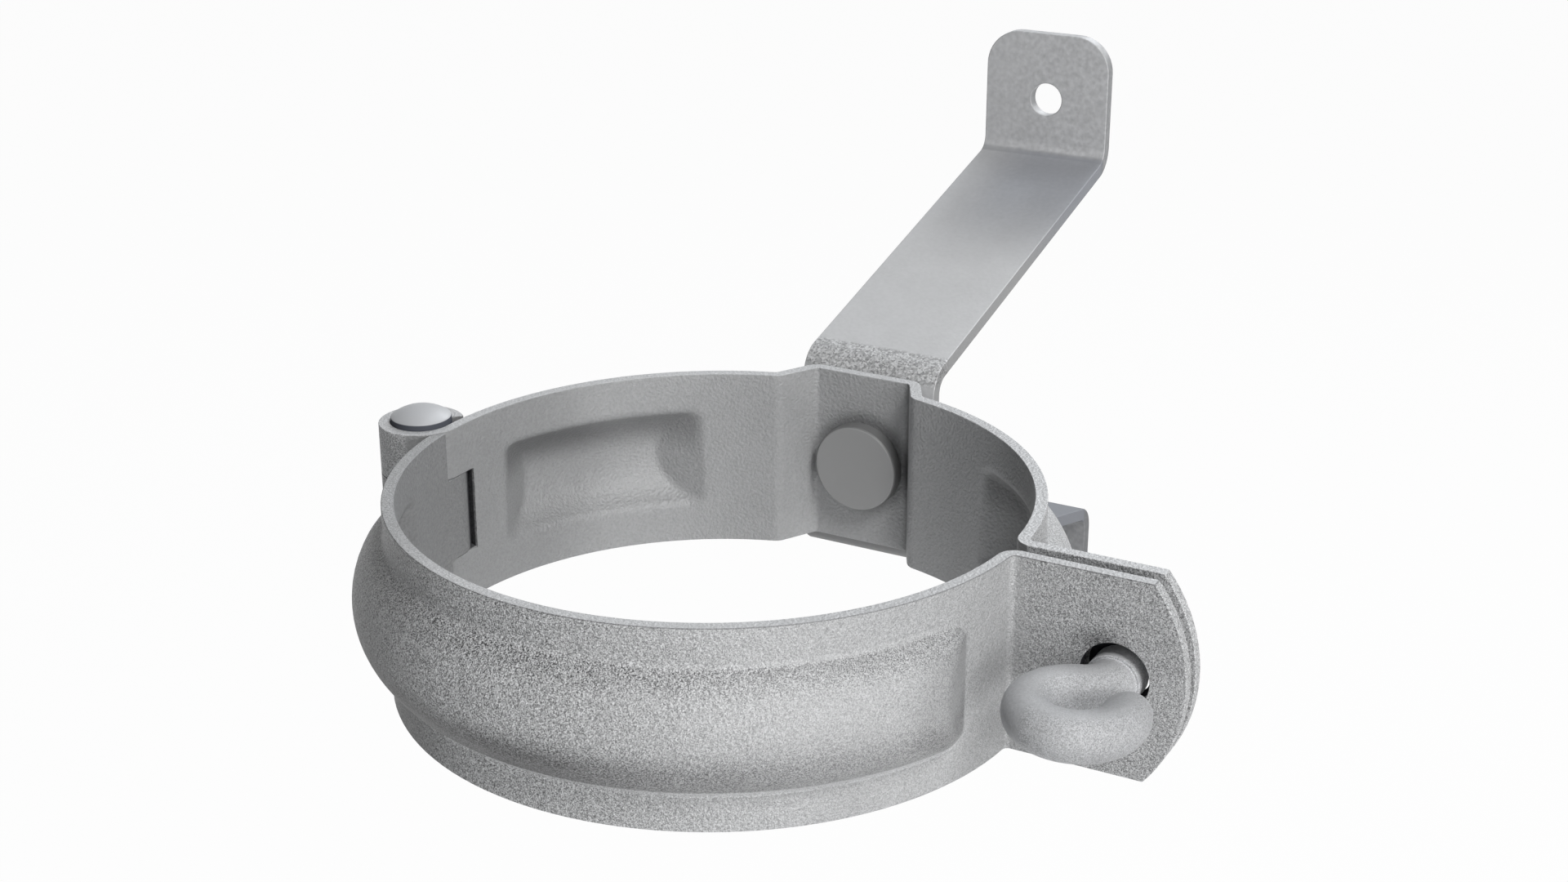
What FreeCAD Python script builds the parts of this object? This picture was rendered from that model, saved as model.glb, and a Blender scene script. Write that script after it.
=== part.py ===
import FreeCAD, Part
import Sketcher
import math
import os

# Hinged downpipe bracket, millimetres.
# The pipe stands along Z and the ring centre is the origin, at half the height of the band.
# +Y points at the wall, +X at the closing lugs and -X at the hinge.

doc = FreeCAD.newDocument("downpipe_bracket")
sheet = doc.addObject("Spreadsheet::Sheet", "dims")

driving = (
    # band
    ("ring_inner_radius", 50.0),
    ("band_thickness", 2.0),
    ("band_height", 32.0),
    ("band_bend_radius", 1.0),
    # closing lugs
    ("lug_gap", 2.1),
    ("lug_length", 21.8),
    ("lug_bulge", 5.7),
    ("lug_hole_inset", 5.3),
    ("lug_hole_diameter", 10.8),
    ("rear_hole_gap", 0.4),
    # saddle of the rear half, where the strap is riveted on
    ("saddle_flat_width", 18.2),
    ("saddle_depth", 5.0),
    ("saddle_slope", 62.0),
    ("mount_offset_x", -1.8),
    ("mount_offset_z", -0.9),
    # stiffening beads, with angles measured from the lugs round the ring
    ("bead_width", 20.0),
    ("bead_rise", 5.4),
    ("bead_end_slope", 28.0),
    ("bead_corner_radius", 4.0),
    ("bead_foot_radius", 1.5),
    ("front_bead_margin", 16.0),
    ("rear_bead_margin", 12.5),
    ("rear_bead_stop", 58.0),
    # hinge
    ("hinge_pin_diameter", 10.2),
    ("hinge_fit", 0.06),
    ("hinge_pin_stand", 0.9),
    ("hinge_pin_dome", 1.7),
    ("roll_opening", 47.0),
    ("middle_knuckle_height", 14.4),
    ("knuckle_gap", 0.15),
    ("window_gap", 0.08),
    ("window_slope", 67.0),
    ("swing_gap", 0.3),
    ("seam_setback", 3.0),
    # wall strap
    ("strap_width", 26.0),
    ("strap_thickness", 2.5),
    ("strap_bend_radius", 3.0),
    ("web_half_height", 18.2),
    ("arm_slope", 14.8),
    ("tab_face_y", 135.8),
    ("tab_end_height", 63.1),
    ("tab_corner_radius", 7.0),
    ("tab_hole_height", 49.9),
    ("tab_hole_diameter", 6.5),
    # strap rivet
    ("rivet_diameter", 8.0),
    ("rivet_fit", 0.05),
    ("rivet_head_diameter", 15.9),
    ("rivet_head_height", 2.8),
    ("rivet_tail_diameter", 13.0),
    ("rivet_tail_height", 3.2),
    ("rivet_tail_round", 2.2),
    ("rivet_head_chamfer", 0.3),
    # eye pin through both lugs
    ("eye_wire_diameter", 7.6),
    ("eye_loop_radius", 7.0),
    ("eye_elbow_radius", 4.5),
    ("eye_side_offset", 1.0),
    ("eye_pin_seat", 0.3),
    ("eye_collar_diameter", 8.6),
    ("eye_collar_stand", 0.15),
    ("eye_collar_seat", 0.2),
    ("eye_loop_end", 36.0),
    ("eye_pin_tail", 13.0),
    ("eye_tip_round", 2.0),
    ("eye_tail_chamfer", 1.0),
    ("cotter_hole_diameter", 3.0),
    ("cotter_hole_inset", 4.0),
)

derived = (
    ("ring_outer_radius", "ring_inner_radius + band_thickness"),
    ("eye_bore_radius", "hinge_pin_diameter / 2 + hinge_fit"),
    ("roll_outer_radius", "eye_bore_radius + band_thickness"),
    ("hinge_x", "0 - ring_inner_radius - roll_outer_radius"),
    ("window_radius", "roll_outer_radius + window_gap"),
    ("window_corner_out", "(window_radius ^ 2 + hinge_x ^ 2 - ring_outer_radius ^ 2) / (0 - 2 * hinge_x)"),
    ("window_corner_y", "sqrt(window_radius ^ 2 - window_corner_out ^ 2)"),
    ("lug_end_radius", "((band_height / 2) ^ 2 + lug_bulge ^ 2) / (2 * lug_bulge)"),
    ("lug_edge_x", "ring_outer_radius + lug_length"),
    ("lug_end_x", "lug_edge_x + lug_bulge"),
    ("lug_end_center_x", "lug_end_x - lug_end_radius"),
    ("lug_hole_x", "lug_edge_x - lug_hole_inset"),
    ("saddle_inner_y", "ring_inner_radius + saddle_depth"),
    ("saddle_outer_y", "saddle_inner_y + band_thickness"),
    ("bead_tube_radius", "((bead_width / 2) ^ 2 + bead_rise ^ 2) / (2 * bead_rise)"),
    ("bead_ring_radius", "ring_outer_radius + bead_rise - bead_tube_radius"),
    ("seat_height", "(band_height - bead_width) / 3"),
    ("strap_back_y", "tab_face_y + strap_thickness"),
    ("tail_seat_y", "saddle_outer_y + strap_thickness"),
    ("eye_wire_radius", "eye_wire_diameter / 2"),
    ("eye_pin_x", "lug_hole_x - eye_pin_seat"),
    ("eye_pin_z", "0 - (lug_hole_diameter / 2 - eye_collar_diameter / 2 - eye_collar_seat)"),
    ("lug_face_y", "0 - lug_gap / 2 - band_thickness"),
    ("eye_collar_height", "lug_gap + band_thickness - eye_collar_stand"),
    ("elbow_x", "eye_pin_x - eye_elbow_radius"),
    ("elbow_y", "lug_face_y - eye_pin_seat"),
    ("loop_x", "eye_pin_x - eye_side_offset"),
    ("eye_center_gap", "eye_loop_radius + eye_elbow_radius"),
    ("loop_y", "elbow_y - sqrt(eye_center_gap ^ 2 - (loop_x - elbow_x) ^ 2)"),
    ("eye_join_angle", "acos((elbow_x - loop_x) / eye_center_gap) / 1deg"),
)

for row, (alias, value) in enumerate(driving, start=1):
    sheet.set("A%d" % row, alias)
    sheet.set("B%d" % row, str(value))
    sheet.setAlias("B%d" % row, alias)
for row, (alias, formula) in enumerate(derived, start=len(driving) + 1):
    sheet.set("A%d" % row, alias)
    sheet.set("B%d" % row, "=" + formula)
    sheet.setAlias("B%d" % row, alias)
doc.recompute()


def size(alias):
    return float(sheet.getPropertyByName(alias))


def bind(thing, **formulas):
    for name, formula in formulas.items():
        thing.setExpression(name.replace("__", "."), formula)
    return thing


def primitive(kind, name, **formulas):
    return bind(doc.addObject("Part::" + kind, name), **formulas)


def turned(thing, axis, angle):
    thing.Placement.Rotation = FreeCAD.Rotation(FreeCAD.Vector(*axis), angle)
    return thing


def plain_number(holder, formula):
    result = holder.evalExpression(formula)
    return float(getattr(result, "Value", result))


def draw_polygon(sketch, corners):
    # a closed outline, each corner held by two bound distances from the sketch origin
    points = [FreeCAD.Vector(plain_number(sketch, x), plain_number(sketch, y), 0) for x, y in corners]
    count = len(points)
    for index in range(count):
        sketch.addGeometry(Part.LineSegment(points[index], points[(index + 1) % count]), False)
    for index in range(count):
        sketch.addConstraint(Sketcher.Constraint("Coincident", index, 2, (index + 1) % count, 1))
    for index, (x, y) in enumerate(corners):
        place_point(sketch, index, 1, x, y, points[index])


def place_point(sketch, geometry, end, x, y, point):
    for kind, formula, value in (("DistanceX", x, point.x), ("DistanceY", y, point.y)):
        number = sketch.addConstraint(Sketcher.Constraint(kind, -1, 1, geometry, end, value))
        sketch.setExpression("Constraints[%d]" % number, formula)


def draw_circle(sketch, x, y, radius):
    center = FreeCAD.Vector(plain_number(sketch, x), plain_number(sketch, y), 0)
    value = plain_number(sketch, radius)
    index = sketch.addGeometry(Part.Circle(center, FreeCAD.Vector(0, 0, 1), value), False)
    place_point(sketch, index, 3, x, y, center)
    number = sketch.addConstraint(Sketcher.Constraint("Radius", index, value))
    sketch.setExpression("Constraints[%d]" % number, radius)


def upright_block(name, corners, height):
    # a flat outline in the XY plane, drawn up and down by half the height
    sketch = doc.addObject("Sketcher::SketchObject", name + "_outline")
    draw_polygon(sketch, corners)
    block = doc.addObject("Part::Extrusion", name)
    block.Base = sketch
    block.DirMode = "Custom"
    block.Dir = FreeCAD.Vector(0, 0, 1)
    block.Symmetric = True
    block.Solid = True
    block.setExpression("LengthFwd", height)
    return block


def fused(name, pieces, refine=True):
    whole = doc.addObject("Part::MultiFuse", name)
    whole.Shapes = pieces
    whole.Refine = refine
    return whole


def cut(name, base, tool, refine=True):
    rest = doc.addObject("Part::Cut", name)
    rest.Base = base
    rest.Tool = tool
    rest.Refine = refine
    return rest


def origin_plane(body, role):
    return [plane for plane in body.Origin.OriginFeatures if plane.Role == role][0]


def body_on(name, base=None):
    body = doc.addObject("PartDesign::Body", name)
    body.Label = name
    if base is not None:
        doc.recompute()
        body.BaseFeature = base
        doc.recompute()
    return body


def body_sketch(body, name, role):
    sketch = body.newObject("Sketcher::SketchObject", name)
    sketch.AttachmentSupport = [(origin_plane(body, role), "")]
    sketch.MapMode = "FlatFace"
    return sketch


def edge_names(feature, wanted):
    edges = feature.Shape.Edges
    return ["Edge%d" % (index + 1) for index, edge in enumerate(edges) if wanted(edge)]


def soften(body, name, wanted, size_name, formula, kind="Fillet"):
    # rounds or bevels the wanted edges of the body's last feature
    base = body.Tip
    names = edge_names(base, wanted)
    if not names:
        raise RuntimeError("no edge found for " + name)
    feature = body.newObject("PartDesign::" + kind, name)
    feature.Base = (base, names)
    feature.Refine = False
    feature.setExpression(size_name, formula)
    doc.recompute()
    if feature.Shape.isNull():
        raise RuntimeError(name + " could not be made")
    return feature


def upright_edge_at(x, y):
    def wanted(edge):
        return all(math.hypot(v.X - x, v.Y - y) < 0.02 for v in edge.Vertexes) and edge.Length > 0.5
    return wanted


def any_of(*tests):
    return lambda edge: any(test(edge) for test in tests)


# values used by the edge searches
half_height = size("band_height") / 2
inner = size("ring_inner_radius")
outer = size("ring_outer_radius")
thickness = size("band_thickness")

# cutting forms run this far past the faces they cut
clearance = 2
clear_height = "(dims.band_height + %d)" % (2 * clearance)


# Bead forms. A bead is a round tube section swept round the ring. Each end is a flat ramp.
# Only the outer half of the tube is made, and it starts and stops this far beyond the ramps.
bead_overrun = 30


def ramp_cut(name, angle, side, inset):
    # a block that lies on a ramp and takes away what is beyond it; side +1 is the bead's start
    reach = "dims.bead_tube_radius * 3"
    along = "(%s + %d * (90 - dims.bead_end_slope)) * 1deg" % (angle, side)
    across = "(%s + %d * (90 - dims.bead_end_slope) + 90) * 1deg" % (angle, side)
    shift = "(%s - %s)" % (inset, reach) if side > 0 else "(0 - %s)" % inset
    corner = "dims.ring_outer_radius * {0}((%s) * 1deg) + %s * {0}(%s) - %s * {0}(%s)"
    corner = corner % (angle, shift, across, reach, along)
    return primitive(
        "Box", name, Length="2 * " + reach, Width=reach, Height=reach,
        Placement__Base__x=corner.format("cos"), Placement__Base__y=corner.format("sin"),
        Placement__Base__z="0 - dims.bead_tube_radius * 1.5", Placement__Rotation__Angle=along)


def bead_form(name, start, stop, inset):
    tube = primitive(
        "Torus", name + "_tube", Radius1="dims.bead_ring_radius",
        Radius2="dims.bead_tube_radius - %s" % inset, Angle1="-90deg", Angle2="90deg",
        Angle3="(%s - %s + %d) * 1deg" % (stop, start, 2 * bead_overrun),
        Placement__Rotation__Angle="(%s - %d) * 1deg" % (start, bead_overrun))
    ends = fused(name + "_ends", [
        ramp_cut(name + "_start_cut", start, 1, inset), ramp_cut(name + "_stop_cut", stop, -1, inset)])
    body = body_on(name, cut(name + "_blank", tube, ends))
    soften(body, name + "_corners", lambda edge: edge.Curve.TypeId == "Part::GeomBSplineCurve",
           "Radius", "dims.bead_corner_radius - %s" % inset)
    return body


def bead_pair(name, start, stop):
    return (bead_form(name + "_outside", start, stop, "0"),
            bead_form(name + "_inside", start, stop, "dims.band_thickness"))


# Ring half with its lug: side +1 is the rear half, -1 the front half.
def lug_plate(name, side):
    low = "dims.lug_gap / 2" if side > 0 else "0 - dims.lug_gap / 2 - dims.band_thickness"
    strip = primitive(
        "Box", name + "_strip",
        Length="dims.lug_end_x - dims.ring_inner_radius",
        Width="dims.band_thickness", Height="dims.band_height",
        Placement__Base__x="dims.ring_inner_radius + dims.band_thickness / 2",
        Placement__Base__y=low, Placement__Base__z="0 - dims.band_height / 2")
    disc = primitive(
        "Cylinder", name + "_disc", Radius="dims.lug_end_radius", Height="dims.band_height",
        Placement__Base__x="dims.lug_end_center_x", Placement__Base__y="dims.band_height / 2")
    turned(disc, (1, 0, 0), 90)
    plate = doc.addObject("Part::Common", name)
    plate.Base = strip
    plate.Tool = disc
    return plate


def drill_along_y(name, x, z, radius, low_y, high_y):
    drill = primitive(
        "Cylinder", name, Radius=radius, Height="%s - (%s)" % (high_y, low_y),
        Placement__Base__x=x, Placement__Base__y=high_y, Placement__Base__z=z)
    return turned(drill, (1, 0, 0), 90)


def lug_drill(name, side):
    # the rear hole only passes the shank, the front one the collar as well
    low_y = "(dims.lug_face_y - %d)" % clearance
    if side > 0:
        return drill_along_y(name, "dims.lug_hole_x", "dims.eye_pin_z",
                             "dims.eye_wire_radius + dims.rear_hole_gap", "0", "0 - " + low_y)
    return drill_along_y(name, "dims.lug_hole_x", "0", "dims.lug_hole_diameter / 2", low_y, "0")


def half_disc(name, side):
    disc = primitive(
        "Cylinder", name, Radius="dims.ring_outer_radius", Height="dims.band_height", Angle="180deg",
        Placement__Base__z="0 - dims.band_height / 2")
    return turned(disc, (0, 0, 1), 0 if side > 0 else 180)


def gap_block(name, side):
    low = "dims.lug_gap / 2 - dims.ring_inner_radius" if side > 0 else "0 - dims.lug_gap / 2"
    return primitive(
        "Box", name, Length="dims.ring_outer_radius", Width="dims.ring_inner_radius", Height=clear_height,
        Placement__Base__x="dims.ring_inner_radius / 2", Placement__Base__y=low,
        Placement__Base__z="0 - %s / 2" % clear_height)


def pipe_bore(name):
    # three stacked lengths: the beads interrupt the middle one, and the pipe bears on the end ones,
    # whose faces stay seats of their own wherever Refine is off
    middle = "(dims.band_height - 2 * dims.seat_height)"
    end = "((%s - %s) / 2)" % (clear_height, middle)
    lengths = (("lower", end, "0 - %s / 2" % clear_height),
               ("middle", middle, "0 - %s / 2" % middle),
               ("upper", end, middle + " / 2"))
    return [primitive("Cylinder", "%s_%s" % (name, label), Radius="dims.ring_inner_radius",
                      Height=height, Placement__Base__z=bottom) for label, height, bottom in lengths]


def hinge_cylinder(name, radius, height, bottom):
    return primitive(
        "Cylinder", name, Radius=radius, Height=height,
        Placement__Base__x="dims.hinge_x", Placement__Base__z=bottom)


def knuckle_roll(name, height, start):
    # the band rolled round the pin, open over one sector
    bottom = "0 - (%s) / 2" % height
    roll = hinge_cylinder(name + "_outside", "dims.roll_outer_radius", height, bottom)
    bind(roll, Angle="(360 - dims.roll_opening) * 1deg", Placement__Rotation__Angle=start)
    bore = hinge_cylinder(name + "_bore", "dims.eye_bore_radius", height, bottom)
    return cut(name, roll, bore)


def lug_bend_edges(side):
    face = size("lug_gap") / 2
    back = face + thickness
    inside = upright_edge_at(math.sqrt(inner ** 2 - face ** 2), side * face)
    outside = upright_edge_at(math.sqrt(outer ** 2 - back ** 2), side * back)
    return inside, outside


def bead_foot_edges(radius, margin):
    # the closed seam where a bead leaves the round wall
    def wanted(edge):
        box = edge.BoundBox
        if box.ZMax > half_height - 0.5 or box.ZMin < 0.5 - half_height:
            return False
        for parameter in (0.0, 0.3, 0.7, 1.0):
            first, last = edge.ParameterRange
            point = edge.valueAt(first + parameter * (last - first))
            if abs(math.hypot(point.x, point.y) - radius) > 0.02:
                return False
            turn = abs(math.degrees(math.atan2(point.y, point.x)))
            if not margin - 0.5 < turn < 180.5 - margin:
                return False
        return True
    return wanted


# Rear half: ring wall, saddle for the strap, two beads, lug, upper and lower knuckle.
saddle_cot = "1 / tan(dims.saddle_slope * 1deg)"
saddle_low = "dims.ring_inner_radius * 0.8"
saddle_drop = "(dims.saddle_inner_y - %s) * %s" % (saddle_low, saddle_cot)
saddle_skew = "dims.band_thickness / sin(dims.saddle_slope * 1deg)"
saddle_half = "dims.saddle_flat_width / 2"


def saddle_block(name, top, top_half, low_half, height):
    center = "dims.mount_offset_x"
    return upright_block(name, (
        ("%s - (%s)" % (center, low_half), saddle_low),
        ("%s + (%s)" % (center, low_half), saddle_low),
        ("%s + (%s)" % (center, top_half), top),
        ("%s - (%s)" % (center, top_half), top)), height)


saddle_outside = saddle_block(
    "saddle_outside", "dims.saddle_outer_y",
    "%s + dims.band_thickness * tan(dims.saddle_slope * 0.5deg)" % saddle_half,
    "%s + %s + %s" % (saddle_half, saddle_drop, saddle_skew), "dims.band_height")
saddle_inside = saddle_block(
    "saddle_inside", "dims.saddle_inner_y", saddle_half,
    "%s + %s" % (saddle_half, saddle_drop), clear_height)

rear_beads = (
    bead_pair("rear_right_bead", "dims.rear_bead_margin", "dims.rear_bead_stop"),
    bead_pair("rear_left_bead", "(180 - dims.rear_bead_stop)", "(180 - dims.rear_bead_margin)"))

rear_blank = fused("rear_blank", [
    half_disc("rear_disc", 1), saddle_outside, lug_plate("rear_lug", 1),
    rear_beads[0][0], rear_beads[1][0]])
rivet_drill = drill_along_y(
    "rivet_drill", "dims.mount_offset_x", "dims.mount_offset_z", "dims.rivet_diameter / 2 + dims.rivet_fit",
    "(dims.saddle_inner_y - %d)" % clearance, "(dims.saddle_outer_y + %d)" % clearance)
rear_void = fused("rear_void", pipe_bore("rear_bore") + [
    saddle_inside, gap_block("rear_gap", 1), rivet_drill,
    lug_drill("rear_lug_drill", 1), rear_beads[0][1], rear_beads[1][1]], refine=False)
rear_wall = cut("rear_wall", rear_blank, rear_void, refine=False)
rear_roll = knuckle_roll("rear_roll", "dims.band_height", "dims.roll_opening * 1deg")
window_height = "(dims.middle_knuckle_height + 2 * dims.knuckle_gap)"
# the window for the middle knuckle: round where it clears the roll, and from the corner on the
# wall's outside it flares towards the pipe
window_reach = "(2 * dims.window_radius)"
window_turn = "(dims.window_slope * 1deg)"
window_flare = primitive(
    "Box", "window_flare", Length=window_reach, Width=window_reach, Height=window_height,
    Placement__Base__x="dims.hinge_x + dims.window_corner_out + %s * (sin%s / 2 - cos%s)" % (
        window_reach, window_turn, window_turn),
    Placement__Base__y="dims.window_corner_y - %s * (cos%s / 2 + sin%s)" % (
        window_reach, window_turn, window_turn),
    Placement__Base__z="0 - %s / 2" % window_height, Placement__Rotation__Angle=window_turn)
window_round = hinge_cylinder(
    "window_round", "dims.window_radius", window_height, "0 - %s / 2" % window_height)
window = fused("knuckle_window", [window_flare, window_round])
rear_joined = fused("rear_joined", [rear_wall, rear_roll], refine=False)
rear_sheet = cut("rear_sheet", rear_joined, window, refine=False)

rear_half = body_on("rear_half", rear_sheet)


def saddle_foot(side, skew, radius):
    # where a slope of the saddle meets the round wall
    slope = math.radians(size("saddle_slope"))
    middle = size("mount_offset_x")
    start_x = middle + side * (size("saddle_flat_width") / 2 + skew / math.sin(slope))
    start_y = size("saddle_inner_y")
    run_x = side * math.cos(slope)
    run_y = -math.sin(slope)
    along = start_x * run_x + start_y * run_y
    travel = -along - math.sqrt(along ** 2 - (start_x ** 2 + start_y ** 2 - radius ** 2))
    return start_x + travel * run_x, start_y + travel * run_y


flat_half = size("saddle_flat_width") / 2
flat_half_outside = flat_half + thickness * math.tan(math.radians(size("saddle_slope")) / 2)
middle_x = size("mount_offset_x")
sides = (1, -1)
saddle_inner_corners = [
    upright_edge_at(middle_x + side * flat_half, size("saddle_inner_y")) for side in sides]
saddle_outer_corners = [
    upright_edge_at(middle_x + side * flat_half_outside, size("saddle_outer_y")) for side in sides]
inner_feet = [upright_edge_at(*saddle_foot(side, 0, inner)) for side in sides]
outer_feet = [upright_edge_at(*saddle_foot(side, thickness, outer)) for side in sides]
lug_inside, lug_outside = lug_bend_edges(1)
soften(rear_half, "rear_tight_bends", any_of(lug_outside, *(saddle_inner_corners + outer_feet)),
       "Radius", "dims.band_bend_radius")
soften(rear_half, "rear_wide_bends", any_of(lug_inside, *(saddle_outer_corners + inner_feet)),
       "Radius", "dims.band_bend_radius + dims.band_thickness")
soften(rear_half, "rear_bead_feet", bead_foot_edges(outer, size("rear_bead_margin")), "Radius",
       "dims.bead_foot_radius")
soften(rear_half, "rear_bead_rims", bead_foot_edges(inner, size("rear_bead_margin")), "Radius",
       "dims.bead_foot_radius + dims.band_thickness / 2")

# Front half: ring wall, one long bead, lug, middle knuckle.
front_bead = bead_pair("front_bead", "(dims.front_bead_margin - 180)", "(0 - dims.front_bead_margin)")
front_blank = fused("front_blank", [half_disc("front_disc", -1), lug_plate("front_lug", -1), front_bead[0]])
front_void = fused("front_void", pipe_bore("front_bore") + [
    gap_block("front_gap", -1), lug_drill("front_lug_drill", -1), front_bead[1]], refine=False)
front_wall = cut("front_wall", front_blank, front_void, refine=False)
trims = []
for label, bottom in (("upper", "dims.middle_knuckle_height / 2"),
                      ("lower", "0 - dims.middle_knuckle_height / 2 - dims.band_height")):
    trims.append(hinge_cylinder(label + "_trim", "dims.roll_outer_radius + dims.swing_gap",
                                "dims.band_height", bottom))
    trims.append(primitive(
        "Box", label + "_setback", Length="dims.ring_inner_radius", Width="dims.ring_inner_radius",
        Height="dims.band_height", Placement__Base__x="0 - dims.ring_inner_radius * 1.5",
        Placement__Base__y="0 - dims.seam_setback", Placement__Base__z=bottom))
front_trimmed = cut("front_trimmed", front_wall, fused("front_trims", trims), refine=False)
front_roll = knuckle_roll("front_roll", "dims.middle_knuckle_height", "0deg")
front_sheet = fused("front_sheet", [front_trimmed, front_roll], refine=False)

front_half = body_on("front_half", front_sheet)
lug_inside, lug_outside = lug_bend_edges(-1)
soften(front_half, "front_tight_bend", lug_outside, "Radius", "dims.band_bend_radius")
soften(front_half, "front_wide_bend", lug_inside, "Radius", "dims.band_bend_radius + dims.band_thickness")
soften(front_half, "front_bead_foot", bead_foot_edges(outer, size("front_bead_margin")), "Radius",
       "dims.bead_foot_radius")
soften(front_half, "front_bead_rim", bead_foot_edges(inner, size("front_bead_margin")), "Radius",
       "dims.bead_foot_radius + dims.band_thickness / 2")

# Hinge pin: a plain rod with a low dome on each end.
rod_length = "(dims.band_height + 2 * dims.hinge_pin_stand)"
rod = hinge_cylinder("rod", "dims.hinge_pin_diameter / 2", rod_length, "0 - %s / 2" % rod_length)
dome_radius = "((dims.hinge_pin_diameter / 2) ^ 2 + dims.hinge_pin_dome ^ 2) / (2 * dims.hinge_pin_dome)"
domes = []
for label, side in (("top", 1), ("bottom", -1)):
    dome = primitive(
        "Sphere", label + "_dome", Radius=dome_radius,
        Angle1="asin(1 - dims.hinge_pin_dome / (%s))" % dome_radius,
        Placement__Base__x="dims.hinge_x",
        Placement__Base__z="%d * (%s / 2 + dims.hinge_pin_dome - (%s))" % (side, rod_length, dome_radius))
    domes.append(turned(dome, (1, 0, 0), 0 if side > 0 else 180))
hinge_pin = fused("hinge_pin", [rod] + domes)

# Wall strap: web, two sloping arms and two tabs, drawn in the YZ plane.
wall_strap = body_on("wall_strap")
bind(wall_strap, Placement__Base__x="dims.mount_offset_x", Placement__Base__z="dims.mount_offset_z")
arm_rise = "tan(dims.arm_slope * 1deg)"
arm_skew = "dims.strap_thickness / cos(dims.arm_slope * 1deg)"
web_y = "dims.saddle_outer_y"
back_y = "dims.strap_back_y"


def arm_height(y, skew="0"):
    return "(dims.web_half_height + (%s - %s) * %s - %s)" % (y, web_y, arm_rise, skew)


def mirrored_outline(low_y, low_z, high_y, high_z):
    return ((low_y, "0 - " + low_z), (low_y, low_z), (high_y, high_z), (high_y, "0 - " + high_z))


def extrude(body, kind, name, corners):
    sketch = body_sketch(body, name + "_outline", "YZ_Plane")
    draw_polygon(sketch, corners)
    feature = body.newObject("PartDesign::" + kind, name)
    feature.Profile = sketch
    feature.Midplane = True
    extra = 2 * clearance if kind == "Pocket" else 0
    feature.setExpression("Length", "dims.strap_width + %d" % extra)
    doc.recompute()
    return feature


extrude(wall_strap, "Pad", "strap_outside", mirrored_outline(
    web_y, arm_height(web_y), back_y, arm_height(back_y)))
inner_web_y = "(dims.saddle_outer_y + dims.strap_thickness)"
beyond_y = "(dims.strap_back_y + %d)" % clearance
extrude(wall_strap, "Pocket", "strap_inside", mirrored_outline(
    inner_web_y, arm_height(inner_web_y, arm_skew), beyond_y, arm_height(beyond_y, arm_skew)))
for label, sign in (("upper", ""), ("lower", "0 - ")):
    foot = sign + arm_height(back_y, arm_skew)
    tip = sign + "dims.tab_end_height"
    corners = (("dims.tab_face_y", foot), (back_y, foot), (back_y, tip), ("dims.tab_face_y", tip))
    extrude(wall_strap, "Pad", label + "_tab", corners)


def strap_edge(y, z):
    def wanted(edge):
        return edge.BoundBox.XLength > size("strap_width") - 0.1 and all(
            math.hypot(v.Y - y, abs(v.Z) - z) < 0.02 for v in edge.Vertexes)
    return wanted


def strap_z(y, skew):
    slope = math.radians(size("arm_slope"))
    return size("web_half_height") + (y - front_y) * math.tan(slope) - skew / math.cos(slope)


front_y = size("saddle_outer_y")
strap_wall = size("strap_thickness")
tab_y = size("tab_face_y")
soften(wall_strap, "strap_tight_bends", any_of(
    strap_edge(front_y + strap_wall, strap_z(front_y + strap_wall, strap_wall)),
    strap_edge(tab_y, strap_z(tab_y, 0))), "Radius", "dims.strap_bend_radius")
soften(wall_strap, "strap_wide_bends", any_of(
    strap_edge(front_y, strap_z(front_y, 0)),
    strap_edge(tab_y + strap_wall, strap_z(tab_y + strap_wall, strap_wall))),
    "Radius", "dims.strap_bend_radius + dims.strap_thickness")
soften(wall_strap, "tab_corners", lambda edge: edge.Length < strap_wall + 0.1 and all(
    abs(abs(v.Z) - size("tab_end_height")) < 0.02 for v in edge.Vertexes),
    "Radius", "dims.tab_corner_radius")
hole_sketch = body_sketch(wall_strap, "strap_holes_outline", "XZ_Plane")
draw_circle(hole_sketch, "0", "0", "dims.rivet_diameter / 2 + dims.rivet_fit")
draw_circle(hole_sketch, "0", "dims.tab_hole_height", "dims.tab_hole_diameter / 2")
draw_circle(hole_sketch, "0", "0 - dims.tab_hole_height", "dims.tab_hole_diameter / 2")
strap_holes = wall_strap.newObject("PartDesign::Pocket", "strap_holes")
strap_holes.Profile = hole_sketch
strap_holes.Midplane = True
strap_holes.setExpression("Length", "2 * (dims.strap_back_y + %d)" % clearance)
doc.recompute()

# Strap rivet: turned about an axis along Y.
strap_rivet = body_on("strap_rivet")
bind(strap_rivet, Placement__Base__x="dims.mount_offset_x", Placement__Base__z="dims.mount_offset_z")
rivet_sketch = body_sketch(strap_rivet, "rivet_outline", "XY_Plane")
head_y = "dims.saddle_inner_y - dims.rivet_head_height"
tail_y = "dims.tail_seat_y + dims.rivet_tail_height"
draw_polygon(rivet_sketch, (
    ("0", head_y), ("dims.rivet_head_diameter / 2", head_y),
    ("dims.rivet_head_diameter / 2", "dims.saddle_inner_y"),
    ("dims.rivet_diameter / 2", "dims.saddle_inner_y"),
    ("dims.rivet_diameter / 2", "dims.tail_seat_y"),
    ("dims.rivet_tail_diameter / 2", "dims.tail_seat_y"),
    ("dims.rivet_tail_diameter / 2", tail_y), ("0", tail_y)))
rivet_turned = strap_rivet.newObject("PartDesign::Revolution", "rivet_turned")
rivet_turned.Profile = rivet_sketch
rivet_turned.ReferenceAxis = (rivet_sketch, ["V_Axis"])
rivet_turned.Angle = 360
doc.recompute()


def ring_edge(y, radius):
    def wanted(edge):
        box = edge.BoundBox
        return abs(box.YMin - y) < 0.02 and abs(box.YMax - y) < 0.02 and abs(box.XLength - 2 * radius) < 0.1
    return wanted


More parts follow.
